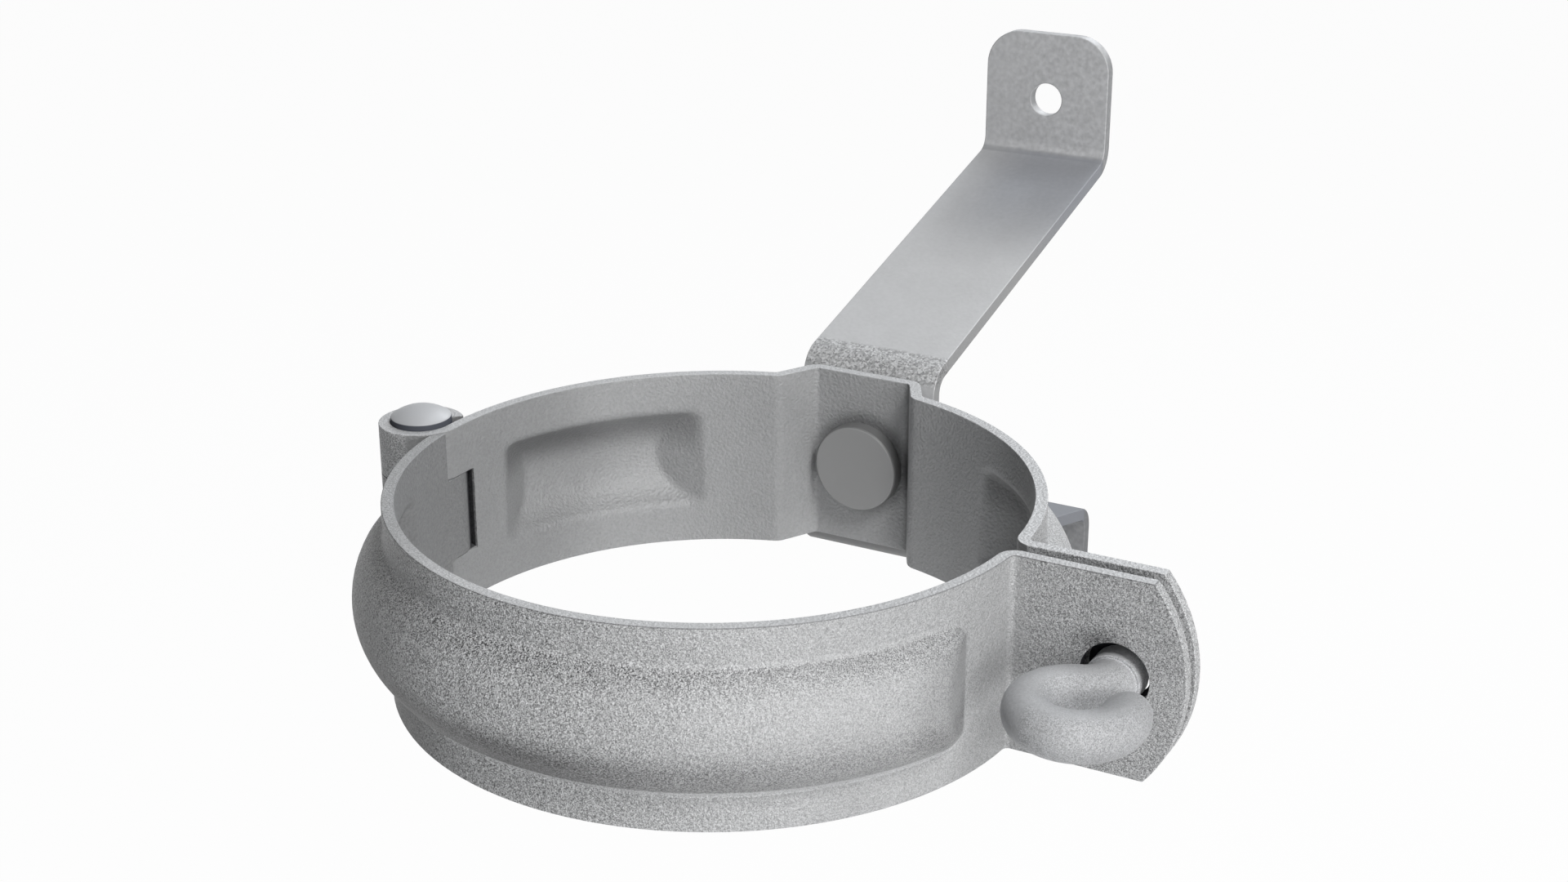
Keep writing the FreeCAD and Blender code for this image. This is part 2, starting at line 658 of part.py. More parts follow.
tail_end_y = size("tail_seat_y") + size("rivet_tail_height")
soften(strap_rivet, "rivet_tail_round", ring_edge(tail_end_y, size("rivet_tail_diameter") / 2),
       "Radius", "dims.rivet_tail_round")
soften(strap_rivet, "rivet_head_break",
       ring_edge(size("saddle_inner_y") - size("rivet_head_height"), size("rivet_head_diameter") / 2),
       "Size", "dims.rivet_head_chamfer", "Chamfer")

# Eye pin: shank along Y, elbow and loop, all of one round wire.
loop = primitive(
    "Torus", "eye_loop", Radius1="dims.eye_loop_radius", Radius2="dims.eye_wire_radius",
    Angle3="(360 + dims.eye_loop_end - dims.eye_join_angle) * 1deg",
    Placement__Base__x="dims.loop_x", Placement__Base__y="dims.loop_y", Placement__Base__z="dims.eye_pin_z",
    Placement__Rotation__Angle="dims.eye_join_angle * 1deg")
elbow = primitive(
    "Torus", "eye_elbow", Radius1="dims.eye_elbow_radius", Radius2="dims.eye_wire_radius",
    Angle3="(180 - dims.eye_join_angle) * 1deg",
    Placement__Base__x="dims.elbow_x", Placement__Base__y="dims.elbow_y",
    Placement__Base__z="dims.eye_pin_z",
    Placement__Rotation__Angle="(dims.eye_join_angle - 180) * 1deg")
shank = primitive(
    "Cylinder", "eye_shank", Radius="dims.eye_wire_radius", Height="dims.eye_pin_tail - dims.elbow_y",
    Placement__Base__x="dims.eye_pin_x", Placement__Base__y="dims.elbow_y",
    Placement__Base__z="dims.eye_pin_z")
turned(shank, (1, 0, 0), -90)
cotter_drill = primitive(
    "Cylinder", "cotter_drill", Radius="dims.cotter_hole_diameter / 2", Height="2 * dims.eye_wire_diameter",
    Placement__Base__x="dims.eye_pin_x", Placement__Base__y="dims.eye_pin_tail - dims.cotter_hole_inset",
    Placement__Base__z="dims.eye_pin_z - dims.eye_wire_diameter")
collar = primitive(
    "Cylinder", "eye_collar", Radius="dims.eye_collar_diameter / 2", Height="dims.eye_collar_height",
    Placement__Base__x="dims.eye_pin_x", Placement__Base__y="dims.elbow_y + dims.eye_pin_seat",
    Placement__Base__z="dims.eye_pin_z")
turned(collar, (1, 0, 0), -90)
eye_blank = cut("eye_blank", fused("eye_wire", [loop, elbow, shank, collar]), cotter_drill)
eye_pin = body_on("eye_pin", eye_blank)
tip_angle = math.radians(size("eye_loop_end"))
loop_radius = size("eye_loop_radius")
tip_point = FreeCAD.Vector(size("loop_x") + loop_radius * math.cos(tip_angle),
                           size("loop_y") + loop_radius * math.sin(tip_angle), size("eye_pin_z"))
tip_face_normal = FreeCAD.Vector(-math.sin(tip_angle), math.cos(tip_angle), 0)


def tip_edge(edge):
    points = [edge.valueAt(p) - tip_point for p in edge.ParameterRange]
    middle = edge.valueAt(sum(edge.ParameterRange) / 2) - tip_point
    return all(abs(point.dot(tip_face_normal)) < 0.02 and point.Length < size("eye_wire_diameter")
               for point in points + [middle])


soften(eye_pin, "eye_tip", tip_edge, "Radius", "dims.eye_tip_round")
soften(eye_pin, "eye_tail", ring_edge(size("eye_pin_tail"), size("eye_wire_radius")),
       "Size", "dims.eye_tail_chamfer", "Chamfer")

doc.recompute()

subparts = (rear_half, front_half, hinge_pin, wall_strap, strap_rivet, eye_pin)
for thing in doc.Objects:
    if "Invalid" in thing.State or "Error" in thing.State:
        raise RuntimeError("%s failed: %s" % (thing.Name, thing.State))
for part in subparts:
    if part.Shape.isNull() or not part.Shape.isValid() or len(part.Shape.Solids) != 1:
        raise RuntimeError("%s is not one valid solid" % part.Label)

os.makedirs("parts", exist_ok=True)
for part in subparts:
    part.Shape.exportStep("parts/%s.step" % part.Label)
    print(part.Label, round(part.Shape.Volume, 1), part.Shape.BoundBox)
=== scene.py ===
import math

import bmesh
import bpy
import numpy as np
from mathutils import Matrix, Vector


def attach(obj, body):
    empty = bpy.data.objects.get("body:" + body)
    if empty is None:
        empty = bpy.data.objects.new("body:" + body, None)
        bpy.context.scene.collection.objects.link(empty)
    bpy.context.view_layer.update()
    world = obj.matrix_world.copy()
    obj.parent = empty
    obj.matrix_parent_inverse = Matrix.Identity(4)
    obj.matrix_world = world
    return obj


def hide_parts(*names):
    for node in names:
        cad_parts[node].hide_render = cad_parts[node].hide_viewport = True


# Hinged downpipe bracket in galvanised steel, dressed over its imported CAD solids.
# Metres. Z runs up the pipe, +Y points at the wall, +X at the closing lugs.

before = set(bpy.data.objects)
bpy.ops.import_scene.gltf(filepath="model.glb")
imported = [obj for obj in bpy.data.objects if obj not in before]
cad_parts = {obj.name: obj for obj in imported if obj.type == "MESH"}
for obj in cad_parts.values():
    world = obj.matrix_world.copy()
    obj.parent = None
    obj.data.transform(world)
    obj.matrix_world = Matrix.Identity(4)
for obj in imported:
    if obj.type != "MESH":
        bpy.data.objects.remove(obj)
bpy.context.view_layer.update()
scene = bpy.context.scene
print("frame loaded:", ", ".join(sorted(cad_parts)))


class Field:
    # a node socket that can stand in Python sums; each sum adds one Math node
    def __init__(self, tree, socket):
        self.tree, self.socket = tree, socket

    def math(self, operation, *others):
        values = dict(enumerate((self,) + others))
        return self.tree.add("ShaderNodeMath", {"operation": operation}, values)[0]

    def __add__(self, other):
        return self.math("ADD", other)

    def __sub__(self, other):
        return self.math("SUBTRACT", other)

    def __rsub__(self, other):
        return self.tree.add("ShaderNodeMath", {"operation": "SUBTRACT"}, {0: other, 1: self})[0]

    def __mul__(self, other):
        return self.math("MULTIPLY", other)

    __radd__ = __add__
    __rmul__ = __mul__

    def between(self, none, full):
        # 0 up to none, 1 from full on, an S curve in between; none may be the larger one
        ends = (0.0, 1.0) if none < full else (1.0, 0.0)
        return self.tree.add("ShaderNodeMapRange", {"interpolation_type": "SMOOTHSTEP"}, {
            0: self, 1: min(none, full), 2: max(none, full), 3: ends[0], 4: ends[1]})[0]

    def tint(self, tone):
        # a factor that is 1 where this mask is 0, and tone where it is 1
        return 1.0 + self * (tone - 1.0)


class Tree:
    # the node tree of one material or of the world
    def __init__(self, owner):
        owner.use_nodes = True
        self.nodes, self.links = owner.node_tree.nodes, owner.node_tree.links
        self.nodes.clear()

    def add(self, kind, settings=None, sockets=None):
        # makes a node; settings come first, then socket values or links; gives its outputs
        node = self.nodes.new(kind)
        for name, value in (settings or {}).items():
            setattr(node, name, value)
        for name, value in (sockets or {}).items():
            if isinstance(value, Field):
                self.links.new(value.socket, node.inputs[name])
            else:
                node.inputs[name].default_value = value
        return [Field(self, output) for output in node.outputs]

    def vector(self, operation, first, second):
        # gives both outputs of a Vector Math node: the vector and the value
        return self.add("ShaderNodeVectorMath", {"operation": operation}, {0: first, 1: second})

    def noise(self, place, size, detail, rough=0.5):
        # noise whose features are about size metres across, -0.5 to 0.5
        return self.add("ShaderNodeTexNoise", {"noise_dimensions": "3D"}, {
            "Vector": place, "Scale": 1.0 / size, "Detail": detail, "Roughness": rough})[0] - 0.5

    def crystals(self, place, size):
        # one value from -0.5 to 0.5 for each small cell, which is about size metres across
        colour = self.add("ShaderNodeTexVoronoi", {"voronoi_dimensions": "3D"}, {
            "Vector": place, "Scale": 1.0 / size})[1]
        return self.add("ShaderNodeSeparateColor", None, {0: colour})[0] - 0.5


def opaque(colour):
    return (*colour, 1.0)


cameraLook = {
    "place": (0.16964, -0.28991, 0.1556),
    "tilt": 68.448,  # degrees
    "turn": 28.5,
    "lens": 53.1,  # millimetres
    "sensor": 36.0,
    "nearest": 0.01,
}
cameraData = bpy.data.cameras.new("camera")
cameraData.lens = cameraLook["lens"]
cameraData.sensor_width = cameraLook["sensor"]
cameraData.clip_start = cameraLook["nearest"]
camera = bpy.data.objects.new("camera", cameraData)
camera.location = cameraLook["place"]
camera.rotation_euler = (math.radians(cameraLook["tilt"]), 0.0, math.radians(cameraLook["turn"]))
scene.collection.objects.link(camera)
scene.camera = camera
scene.view_settings.view_transform = "Standard"

studio = {
    "skyLight": 0.03,
    "skyTint": (0.80, 0.90, 1.0),
    "white": (1.0, 1.0, 1.0),
    "floorLevel": -0.32,
    "floorHalf": 25.0,
    "floorPaint": (0.86, 0.86, 0.86),
    "floorGlow": 0.97,  # how much of the floor the camera sees as plain white
    "lampDistance": 1.1,
    # name: degrees round from the front towards the lugs, degrees up, size, watts, tint
    "lamps": {
        "lowLamp": (50.0, -8.0, 0.60, 3.2, (1.0, 1.0, 1.0)),
        "sideLamp": (60.0, 10.0, 0.60, 3.75, (1.0, 1.0, 1.0)),
        "highLamp": (60.0, 50.0, 0.35, 6.3, (1.0, 1.0, 1.0)),
        "backLamp": (180.0, 35.0, 0.35, 3.8, (0.93, 0.965, 1.0)),
        "topLamp": (170.0, 65.0, 0.35, 1.9, (0.93, 0.965, 1.0)),
    },
}


def backgroundRay(tree):
    # 1 for camera, glossy and transmission rays, which see the plain white background
    path = {output.socket.name: output for output in tree.add("ShaderNodeLightPath")}
    seen = path["Is Camera Ray"] + path["Is Glossy Ray"] + path["Is Transmission Ray"]
    return seen.math("MINIMUM", 1.0)


def makeWorld(look):
    # a dim bluish sky lights the matte parts, and the background rays see plain white
    scene.world = bpy.data.worlds.new("studioWorld")
    tree = Tree(scene.world)
    sky = tree.add("ShaderNodeBackground", None,
                   {"Color": opaque(look["skyTint"]), "Strength": look["skyLight"]})[0]
    white = tree.add("ShaderNodeBackground", None,
                     {"Color": opaque(look["white"]), "Strength": 1.0})[0]
    mixed = tree.add("ShaderNodeMixShader", None, {0: backgroundRay(tree), 1: sky, 2: white})[0]
    tree.add("ShaderNodeOutputWorld", None, {"Surface": mixed})


def makeFloor(look):
    # a matte floor, for the camera nearly as white as the background, with a trace of shadow
    half, level = look["floorHalf"], look["floorLevel"]
    mesh = bpy.data.meshes.new("floor")
    square = ((-half, -half), (half, -half), (half, half), (-half, half))
    mesh.from_pydata([(x, y, level) for x, y in square], [], [(0, 1, 2, 3)])
    floor = bpy.data.objects.new("floor", mesh)
    scene.collection.objects.link(floor)
    material = bpy.data.materials.new("floorPaint")
    tree = Tree(material)
    matte = tree.add("ShaderNodeBsdfDiffuse", None, {"Color": opaque(look["floorPaint"])})[0]
    glow = tree.add("ShaderNodeEmission", None,
                    {"Color": opaque(look["white"]), "Strength": 1.0})[0]
    amount = backgroundRay(tree) * look["floorGlow"]
    mixed = tree.add("ShaderNodeMixShader", None, {0: amount, 1: matte, 2: glow})[0]
    tree.add("ShaderNodeOutputMaterial", None, {"Surface": mixed})
    mesh.materials.append(material)


def makeLamp(name, around, up, size, watts, tint, distance):
    # a round lamp at this distance from the ring's centre, turned to face it
    data = bpy.data.lights.new(name, "AREA")
    data.shape = "DISK"
    data.size = size
    data.energy = watts
    data.color = tint
    lamp = bpy.data.objects.new(name, data)
    turn, rise = math.radians(around), math.radians(up)
    lamp.location = Vector((math.sin(turn) * math.cos(rise), -math.cos(turn) * math.cos(rise),
                            math.sin(rise))) * distance
    lamp.rotation_euler = (-lamp.location).to_track_quat("-Z", "Y").to_euler()
    scene.collection.objects.link(lamp)


makeWorld(studio)
makeFloor(studio)
for lampName, lampValues in studio["lamps"].items():
    makeLamp(lampName, *lampValues, studio["lampDistance"])
print("camera, floor and lamps made")

# One zinc finish for all, varied per piece: colour is the plain reflectance, mottle and the
# speckles are shares of it, a tone multiplies it, a shade is what a mark takes away, and sizes
# and depths are metres. Tones, shades and the dark matte mixed in paint light and shade onto the
# surface. The fine crystals lie on the outside, because the pipe rubs the bore side smooth; the
# soft grain lies everywhere, but less outside. A pair of a place says where a mark starts and
# where it is full, in metres.
bandFinish = {
    "colour": (0.415, 0.417, 0.421),
    # painted light: the outside is painted lighter than the bore, and faces that look up lighter
    # still
    "outerPaintedLight": 1.10,
    "upPaintedLight": 1.18,  # rims and other faces that look up
    "mottle": 0.16,
    "mottleSize": 0.007,
    "mottleGloss": 0.12,
    "grainTurn": (0.7, 0.4, 0.9),  # radians, so that the grain lies along no axis
    "fineSize": 0.00014,
    "fineSpeckle": 1.15,
    "fineOnTop": 0.35,
    "softSize": 0.00050,
    "softSpeckle": 0.34,
    "softOutside": 0.40,
    "softDepth": 0.00020,
    "roughness": 0.50,
    "metallic": 0.08,
    # painted light along the eased edges, painted shade where it is below 1
    "edgePaintedTone": 1.08,
    # colour of the dark matte that is mixed in as painted shade
    "paintedShade": (0.050, 0.051, 0.056),
    "facingOut": (-0.012, -0.004),  # metres from the pipe's axis times the turn outwards
    "facingUp": (0.85, 0.97),  # how far a face turns that way, from 0 to 1
    "facingRight": (0.80, 0.95),
    "slotCentre": (-0.0513, 0.0040, 0.0),
    "slotHalf": (0.0026, 0.0042, 0.0110),
    "slotSoft": 0.2,
    "slotRadius": (0.0504, 0.0508),
    "slotShade": 0.85,
    "lugHoleCentre": (0.0685, 0.0, 0.0),
    "lugHoleHalf": (0.00545, 0.1, 0.00545),  # as long as both lugs and more
    "lugHoleSoft": 0.01,
}


class Spot:
    # where a point lies on its piece: metres from the ring's centre, and which way it faces
    def __init__(self, tree, look):
        sources = tree.add("ShaderNodeTexCoord")
        normal, self.place = sources[1], sources[3]
        self.tree = tree
        self.x, self.y, self.z = tree.add("ShaderNodeSeparateXYZ", None, {0: self.place})
        flat = tree.vector("MULTIPLY", self.place, (1.0, 1.0, 0.0))[0]
        self.radius = tree.add("ShaderNodeVectorMath", {"operation": "LENGTH"}, {0: flat})[1]
        self.outside = tree.vector("DOT_PRODUCT", flat, normal)[1].between(*look["facingOut"])
        aim = tree.add("ShaderNodeSeparateXYZ", None, {0: normal})
        self.top = aim[2].between(*look["facingUp"])
        self.right = aim[0].between(*look["facingRight"])

    def near(self, centre, half, soft):
        # 1 inside an oval with these half sizes, fading to 0 over the soft share at its border
        offset = self.tree.vector("SUBTRACT", self.place, centre)[0]
        share = self.tree.vector("DIVIDE", offset, half)[0]
        length = self.tree.add("ShaderNodeVectorMath", {"operation": "LENGTH"}, {0: share})[1]
        return length.between(1.0, 1.0 - soft)


def zincSteel(name, look, marks, edge=False):
    # marks gives the piece's own painted shading, crystal strength and painted shade mix at a
    # spot;
    # the paint is the colour times the coat's grain, the painted light of the side it is on and
    # that shading
    material = bpy.data.materials.new(name)
    tree = Tree(material)
    spot = Spot(tree, look)
    shading, crystalShare, paintedShade = marks(spot, look, edge)
    turned = tree.add("ShaderNodeVectorRotate", {"rotation_type": "EULER_XYZ"}, {
        "Vector": spot.place, "Rotation": look["grainTurn"]})[0]
    mottle = tree.noise(spot.place, look["mottleSize"], detail=4.0, rough=0.6)
    fine = tree.crystals(turned, look["fineSize"]) * spot.outside * (
        crystalShare * spot.top.tint(look["fineOnTop"]))
    soft = tree.noise(turned, look["softSize"], detail=1.0)
    coat = 1.0 + mottle * look["mottle"] + fine * look["fineSpeckle"] + (
        soft * (spot.outside.tint(look["softOutside"]) * look["softSpeckle"]))
    # painted light on the outside and on faces that look up
    tone = spot.outside.tint(look["outerPaintedLight"]) * spot.top.tint(look["upPaintedLight"])
    paint = tree.add("ShaderNodeVectorMath", {"operation": "SCALE"}, {
        0: look["colour"], "Scale": coat * tone * shading})[0]
    bump = tree.add("ShaderNodeBump", None, {"Height": soft, "Distance": look["softDepth"]})[0]
    steel = tree.add("ShaderNodeBsdfPrincipled", None, {
        "Base Color": paint, "Roughness": look["roughness"] + mottle * look["mottleGloss"],
        "Metallic": look["metallic"], "Normal": bump})[0]
    # a dark matte mixed in by the marks as painted shade
    paintedShadeBsdf = tree.add("ShaderNodeBsdfDiffuse", None, {"Color": opaque(look["paintedShade"])})[0]
    surface = tree.add("ShaderNodeMixShader", None, {0: paintedShade, 1: steel, 2: paintedShadeBsdf})[0]
    tree.add("ShaderNodeOutputMaterial", None, {"Surface": surface})
    return material


def hingeAndHoleShade(spot, look):
    # painted shade in the slot where the middle knuckle passes the wall, and in the lug holes
    slot = spot.near(look["slotCentre"], look["slotHalf"], look["slotSoft"]) * (
        spot.radius.between(*look["slotRadius"])) * look["slotShade"]
    hole = spot.near(look["lugHoleCentre"], look["lugHoleHalf"], look["lugHoleSoft"])
    return (slot + hole).math("MINIMUM", 1.0)


# painted shade on the front half: in its bore, on the slopes of its bead, towards the hinge and
# the lug, at the bead's end and above the lug's hole; a painted highlight in the seam under the
# bead
frontFinish = bandFinish | {
    "softSpeckle": 0.55,
    "boreShade": 0.40,
    "frontSide": (-0.006, -0.009),
    "beadRadius": (0.05215, 0.0524),
    "upperHeight": (0.0055, 0.0092),
    "upperShade": 0.16,
    "bellyHeight": (0.0005, -0.0052),
    "bellyFoot": (-0.0091, -0.0084),
    "bellyShades": (0.72, 0.38, 0.20),  # near the hinge, in the middle, near the lug
    "bellyMiddle": (-0.002, 0.026),
    "bellyRight": (0.026, 0.040),
    "seamRadius": (0.05202, 0.05210),
    "seamHeight": (-0.0084, -0.0091),
    "seamReach": (0.004, 0.030),
    "seamLight": 0.30,
    "leftReach": (-0.010, -0.034),
    "leftShade": 0.33,
    "lowHeight": (0.004, -0.006),
    "lowLeftShade": 0.42,
    "rightReach": (0.028, 0.042),
    "rightShade": 0.07,
    "endReach": (0.047, 0.051),
    "endHeight": (0.0085, 0.0070),
    "endShade": 0.20,
    "holeShadowCentre": (0.0663, -0.003, 0.0049),
    "holeShadowHalf": (0.0058, 0.004, 0.0034),
    "holeShadowSoft": 0.9,
    "holeShadowShade": 0.50,
    "topEdgeHeight": (0.0155, 0.0158),
    "topEdgeShadeTone": 0.55,
    # how strong the crystals are, and what each place adds
    "crystals": 0.5,
    "crystalsLeft": 1.2,
    "crystalsLeftReach": (0.042, -0.016),
    "crystalsLug": 0.6,
    "crystalsLugReach": (0.0525, 0.056),
    "crystalsUpper": 0.6,
    "crystalsBelly": 0.5,
    "crystalsHoleShadow": 0.5,
}


def frontMarks(spot, look, edge):
    front = spot.y.between(*look["frontSide"])
    onBead = spot.radius.between(*look["beadRadius"]) * front * spot.outside
    upper = onBead * spot.z.between(*look["upperHeight"])
    belly = onBead * spot.z.between(*look["bellyHeight"]) * spot.z.between(*look["bellyFoot"])
    # painted highlight in the seam under the bead
    seam = spot.radius.between(*look["seamRadius"]) * front * spot.outside * (
        spot.z.between(*look["seamHeight"])) * spot.x.between(*look["seamReach"])
    left = spot.x.between(*look["leftReach"]) * spot.outside
    right = spot.x.between(*look["rightReach"]) * spot.outside
    end = onBead * spot.x.between(*look["endReach"]) * (
        spot.z.math("ABSOLUTE").between(*look["endHeight"]))
    # painted shadow on the lug above its hole
    holeShadow = spot.near(look["holeShadowCentre"], look["holeShadowHalf"], look["holeShadowSoft"])
    hingeShade, middleShade, lugShade = look["bellyShades"]
    bellyShade = hingeShade + spot.x.between(*look["bellyMiddle"]) * (middleShade - hingeShade) + (
        spot.x.between(*look["bellyRight"]) * (lugShade - middleShade))
    leftShade = look["leftShade"] + spot.z.between(*look["lowHeight"]) * look["lowLeftShade"]
    # painted shade in the bore, on the bead's slopes, to both sides and at the bead's end
    shading = (1.0 - (1.0 - spot.outside) * look["boreShade"]) * (1.0 - belly * bellyShade) * (
        1.0 + seam * look["seamLight"]) * (1.0 - left * leftShade)
    shading = shading - upper * look["upperShade"] - right * look["rightShade"] - (
        end * look["endShade"]) - holeShadow * look["holeShadowShade"]
    crystalShare = look["crystals"] + (
        spot.x.between(*look["crystalsLeftReach"]) * look["crystalsLeft"]) + (
        spot.x.between(*look["crystalsLugReach"]) * look["crystalsLug"]) + (
        upper * look["crystalsUpper"]) + belly * look["crystalsBelly"] + (
        holeShadow * look["crystalsHoleShadow"])
    # painted shade along the outer top edge
    if edge:
        topEdge = spot.z.between(*look["topEdgeHeight"]) * spot.outside
        shading = shading * (look["edgePaintedTone"] + topEdge * (look["topEdgeShadeTone"] - look["edgePaintedTone"]))
    return shading, crystalShare, hingeAndHoleShade(spot, look)


# painted shade in the rear half's bore at both ends, in its grooves and in the corner beside the
# rivet, and a painted shadow round the rivet
rearFinish = bandFinish | {
    # painted light: this colour paints the rear bore lighter than the front's, and the lower outer
    # tone keeps the outside as the front's
    "colour": (0.434, 0.436, 0.440),
    "outerPaintedLight": 1.05,
    "crystals": 1.1,
    "rightReach": (0.026, 0.042),
    "rightShade": 0.58,
    "leftReach": (-0.039, -0.047),
    "leftShade": 0.22,
    "grooveRadius": (0.0501, 0.0512),
    "grooveReach": (0.0240, 0.0262),
    "grooveSide": (0.009, 0.011),
    "grooveHeight": (-0.0005, 0.0060),
    "grooveShade": 0.34,
    "rivetCentre": (-0.0014, 0.0550, -0.0006),
    "rivetHalf": (0.0108, 0.003, 0.0108),
    "rivetSoft": 0.27,
    "rivetShade": 0.40,
    "cornerSide": (0.0525, 0.0535),
    "cornerReach": (0.0060, 0.0077),
    "cornerShade": 0.50,
}


def rearMarks(spot, look, edge):
    right = spot.x.between(*look["rightReach"]) * look["rightShade"]
    left = spot.x.between(*look["leftReach"]) * look["leftShade"]
    groove = spot.radius.between(*look["grooveRadius"]) * (
        spot.x.math("ABSOLUTE").between(*look["grooveReach"])) * (
        spot.y.between(*look["grooveSide"])) * spot.z.between(*look["grooveHeight"])
    corner = spot.y.between(*look["cornerSide"]) * spot.x.between(*look["cornerReach"])
    rivet = spot.near(look["rivetCentre"], look["rivetHalf"], look["rivetSoft"])
    # painted shade in the bore at its ends, grooves and corner, and a painted shadow round the
    # rivet
    paintedDark = right + left + groove * look["grooveShade"] + corner * look["cornerShade"]
    shading = 1.0 - (1.0 - spot.outside) * paintedDark - rivet * look["rivetShade"]
    if edge:
        shading = shading * look["edgePaintedTone"]
    return shading, look["crystals"], hingeAndHoleShade(spot, look)


# painted light and shade on the strap: its arms are painted lighter and take a bluish painted
# shade towards the tabs, its lower arm, tab and fold are painted darkest, its side faces, crease
# and the web's lower edge are painted dark, and its upper fold is coarse
strapFinish = bandFinish | {
    "colour": (0.528, 0.529, 0.533),
    # bluish colour mixed in as painted shade on the arms and tabs
    "paintedShade": (0.335, 0.348, 0.385),
    "outerPaintedLight": 1.0,
    "upPaintedLight": 1.0,
    "fineSpeckle": 0.05,
    "softSpeckle": 0.10,
    "softSize": 0.0009,
    "softDepth": 0.00004,
    "edgePaintedTone": 0.95,
    "armPaintedLight": 1.10,
    "armEndPaintedShade": 0.88,
    "paintedDarkSide": (0.090, 0.126),
    "paintedDarkReach": (-0.0145, -0.0010),
    "paintedDarkLeast": 0.30,
    "paintedDarkShade": 0.62,
    "tabSide": (0.1345, 0.1354),
    "tabTone": 1.00,
    "tabPaintedShade": 0.12,
    "tabGrain": 0.30,
    "tabGrainSize": 0.0010,
    "creaseSide": (0.1338, 0.1344),
    "creaseEnd": (0.1354, 0.1349),
    "creaseShadeTone": 0.70,
    "footHeight": (-0.022, -0.030),
    "footShadeTone": 0.47,
    "sideShadeTone": 0.55,
    "foldHeight": (0.0145, 0.0160),
    "foldSide": (0.0634, 0.0622),
    "foldShadeTone": 0.83,
    "foldGrain": 0.8,
    "foldGrainSize": 0.00033,
    "webSide": (0.0630, 0.0615),
    "webHeight": (-0.0150, -0.0158),
    "webShadeTone": 0.35,
}


def strapMarks(spot, look, edge):
    across = spot.x.between(*look["paintedDarkReach"]) * (1.0 - look["paintedDarkLeast"]) + look["paintedDarkLeast"]
    paintedDark = spot.y.between(*look["paintedDarkSide"]) * across
    onTab = spot.y.between(*look["tabSide"])
    grain = spot.tree.noise(spot.place, look["tabGrainSize"], detail=1.0)
    crease = spot.y.between(*look["creaseSide"]) * spot.y.between(*look["creaseEnd"])
    fold = spot.z.between(*look["foldHeight"]) * spot.y.between(*look["foldSide"])
    foldGrain = spot.tree.crystals(spot.place, look["foldGrainSize"]) * look["foldGrain"]
    web = spot.y.between(*look["webSide"]) * spot.z.between(*look["webHeight"])
    # painted light on the arms, darkening to painted shade towards the tabs
    onArm = look["armPaintedLight"] + paintedDark * (look["armEndPaintedShade"] - look["armPaintedLight"])
    shading = onArm * (1.0 - onTab) + onTab * look["tabTone"] + (
        (onTab + paintedDark) * grain * look["tabGrain"])
    # painted shade in the crease, low down, on the side faces, at the fold and on the web's lower
    # edge
    shading = shading * crease.tint(look["creaseShadeTone"]) * (
        spot.z.between(*look["footHeight"]).tint(look["footShadeTone"])) * (
        spot.right.tint(look["sideShadeTone"])) * (fold.tint(look["foldShadeTone"]) + fold * foldGrain) * (
        web.tint(look["webShadeTone"]))
    if edge:
        shading = shading * look["edgePaintedTone"]
    paintedShade = paintedDark * (1.0 - onTab) * look["paintedDarkShade"] + onTab * look["tabPaintedShade"]
    return shading, 1.0, paintedShade


# painted shade on the rivet head's side, next to its bright face
rivetFinish = bandFinish | {
    "colour": (0.388, 0.388, 0.388),
    "outerPaintedLight": 1.0,
    "upPaintedLight": 1.0,
    "mottle": 0.06,
    "fineSpeckle": 0.02,
    "softSpeckle": 0.02,
    "softDepth": 0.00001,
    "faceCentre": (-0.0018, 0.0550, -0.0009),
    "faceHalf": (0.00782, 1.0, 0.00782),
    "faceSoft": 0.02,
    "sideShade": 0.45,
}


def rivetMarks(spot, look, edge):
    face = spot.near(look["faceCentre"], look["faceHalf"], look["faceSoft"])
    return 1.0 - (1.0 - face) * look["sideShade"], 1.0, 0.0


# the hinge pin's domed ends stay plain, and painted shade darkens the side between them
pinFinish = rivetFinish | {
    "colour": (0.498, 0.504, 0.518),
    # colour mixed in as painted shade on the pin's side
    "paintedShade": (0.030, 0.036, 0.055),
    "sideHeight": (0.01695, 0.01680),
    "sidePaintedShade": 0.85,
}


def pinMarks(spot, look, edge):
    return 1.0, 1.0, spot.z.math("ABSOLUTE").between(*look["sideHeight"]) * look["sidePaintedShade"]


# painted shade on the wire eye's side away from the hinge
wireFinish = bandFinish | {
    "colour": (0.486, 0.490, 0.500),
    "outerPaintedLight": 1.0,
    "upPaintedLight": 1.0,
    "fineSpeckle": 0.65,
    "roughness": 0.60,
    "softDepth": 0.00005,
    "farReach": (0.0700, 0.0745),
    "farSide": (-0.010, -0.012),
    "farShade": 0.16,
}


def wireMarks(spot, look, edge):
    far = spot.x.between(*look["farReach"]) * spot.y.between(*look["farSide"])
    return (look["edgePaintedTone"] if edge else 1.0) - far * look["farShade"], 1.0, 0.0


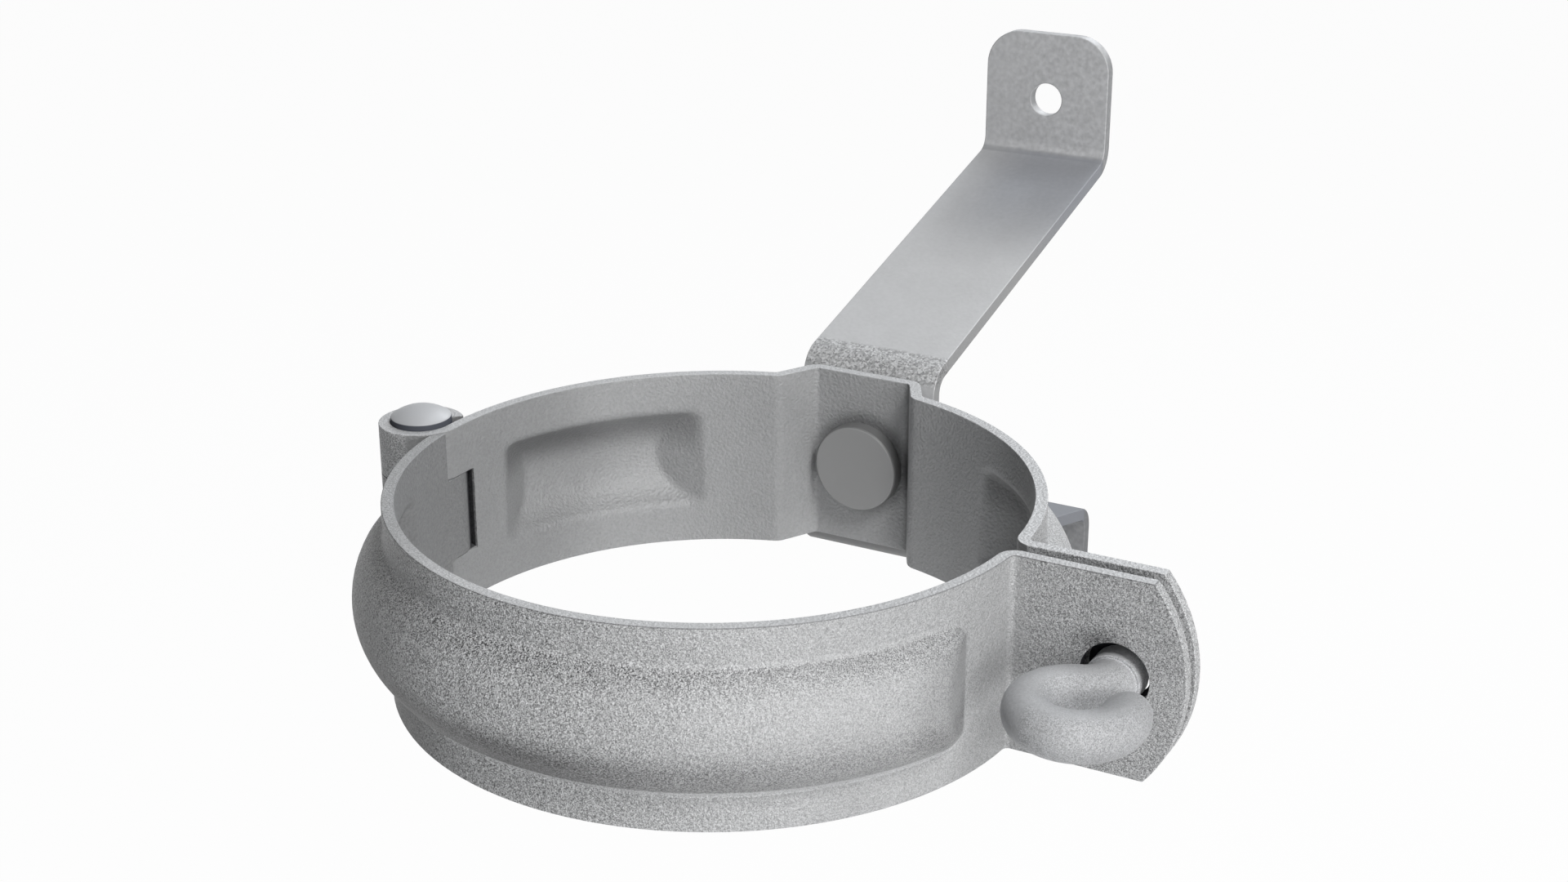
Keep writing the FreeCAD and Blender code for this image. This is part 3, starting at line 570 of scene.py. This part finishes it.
# Each piece is a merged copy of its CAD solid with eased edges, whose tone of their own paints
# light or shade along them.
pieces = {
    # piece: node, body, slot, finish, marks, edge radius
    "frontBand": ("front_half", "front_clamp", "band_steel", frontFinish, frontMarks, 0.00014),
    "rearBand": ("rear_half", "wall_side", "band_steel", rearFinish, rearMarks, 0.00014),
    "hingeRod": ("hinge_pin", "wall_side", "pin_steel", pinFinish, pinMarks, 0.00015),
    "wallStrap": ("wall_strap", "wall_side", "strap_steel", strapFinish, strapMarks, 0.00025),
    "strapRivet": ("strap_rivet", "wall_side", "pin_steel", rivetFinish, rivetMarks, 0.00015),
    "eyePin": ("eye_pin", "closing_pin", "wire_steel", wireFinish, wireMarks, 0.00012),
}
easing = {
    "mergeDistance": 1e-6,
    "flatAngle": 0.05,  # degrees
    "sharpAngle": 32.0,
    "rounds": 2,
    "normalWeight": 60,
    "hingeCentre": (-0.05716, 0.0),
    "crispReach": 0.0105,  # from the hinge centre, and up or down from the middle
    "crispHeight": 0.0078,
}
# the coat on the middle knuckle; its angles are degrees round the hinge, 0 towards the ring
coating = {
    "coat": 0.000065,
    "radius": 0.00716,
    "slack": 0.00002,
    "start": 5.0,
    "end": 85.0,
    "fade": 20.0,
}


def mergedCopy(node, name):
    # the node's loose triangles joined at their corners, flat neighbours dissolved into faces;
    # sharp edges are marked for easing, but the hinge's opening and middle knuckle stay crisp
    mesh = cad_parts[node].data.copy()
    mesh.name = name
    build = bmesh.new()
    build.from_mesh(mesh)
    bmesh.ops.remove_doubles(build, verts=build.verts, dist=easing["mergeDistance"])
    bmesh.ops.dissolve_limit(build, angle_limit=math.radians(easing["flatAngle"]),
                             verts=build.verts, edges=build.edges, delimit={"NORMAL"})
    weight = build.edges.layers.float.new("bevel_weight_edge")
    for edge in build.edges:
        middle = (edge.verts[0].co + edge.verts[1].co) / 2
        hingeReach = math.dist(middle[:2], easing["hingeCentre"])
        crisp = hingeReach < easing["crispReach"] and abs(middle.z) < easing["crispHeight"]
        if edge.calc_face_angle(0.0) > math.radians(easing["sharpAngle"]):
            edge.smooth = not crisp
            edge[weight] = 0.0 if crisp else 1.0
    build.to_mesh(mesh)
    build.free()
    if mesh.has_custom_normals:
        mesh.attributes.remove(mesh.attributes["custom_normal"])
    mesh.materials.clear()
    mesh.shade_smooth()
    piece = bpy.data.objects.new(name, mesh)
    scene.collection.objects.link(piece)
    return piece


def easeEdges(piece, radius):
    # a small round on each marked edge, in the edge material; large faces keep flat shading
    bevel = piece.modifiers.new("easedEdges", "BEVEL")
    bevel.width = radius
    bevel.segments = easing["rounds"]
    bevel.limit_method = "WEIGHT"
    bevel.use_clamp_overlap = False
    bevel.material = 1
    normals = piece.modifiers.new("faceNormals", "WEIGHTED_NORMAL")
    normals.keep_sharp = True
    normals.weight = easing["normalWeight"]


def coatKnuckle(piece):
    # zinc narrows the hinge's running gap: the middle knuckle's points that face the opening move
    # outwards from the hinge axis by the coat, which fades out to both sides
    mesh = piece.data
    points = np.empty(len(mesh.vertices) * 3)
    mesh.vertices.foreach_get("co", points)
    points = points.reshape(-1, 3)
    across = points[:, :2] - np.array(easing["hingeCentre"])
    reach = np.linalg.norm(across, axis=1)
    turn = np.degrees(np.arctan2(across[:, 1], across[:, 0]))
    onKnuckle = np.isclose(reach, coating["radius"], atol=coating["slack"]) & (
        np.abs(points[:, 2]) < easing["crispHeight"])
    share = np.clip((turn - coating["start"]) / coating["fade"], 0.0, 1.0) * (
        np.clip((coating["end"] - turn) / coating["fade"], 0.0, 1.0)) * onKnuckle
    step = share * coating["coat"] / np.maximum(reach, easing["mergeDistance"])
    points[:, :2] += across * step[:, None]
    mesh.vertices.foreach_set("co", points.ravel())
    print("knuckle points coated:", int(onKnuckle.sum()))


for pieceName, (node, body, slot, finish, marks, radius) in pieces.items():
    piece = mergedCopy(node, pieceName)
    if pieceName == "frontBand":
        coatKnuckle(piece)
    easeEdges(piece, radius)
    piece.data.materials.append(zincSteel(pieceName + "Zinc", finish, marks))
    piece.data.materials.append(zincSteel(pieceName + "Edge", finish, marks, edge=True))
    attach(piece, body)
    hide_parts(node)
    print("piece made:", pieceName)
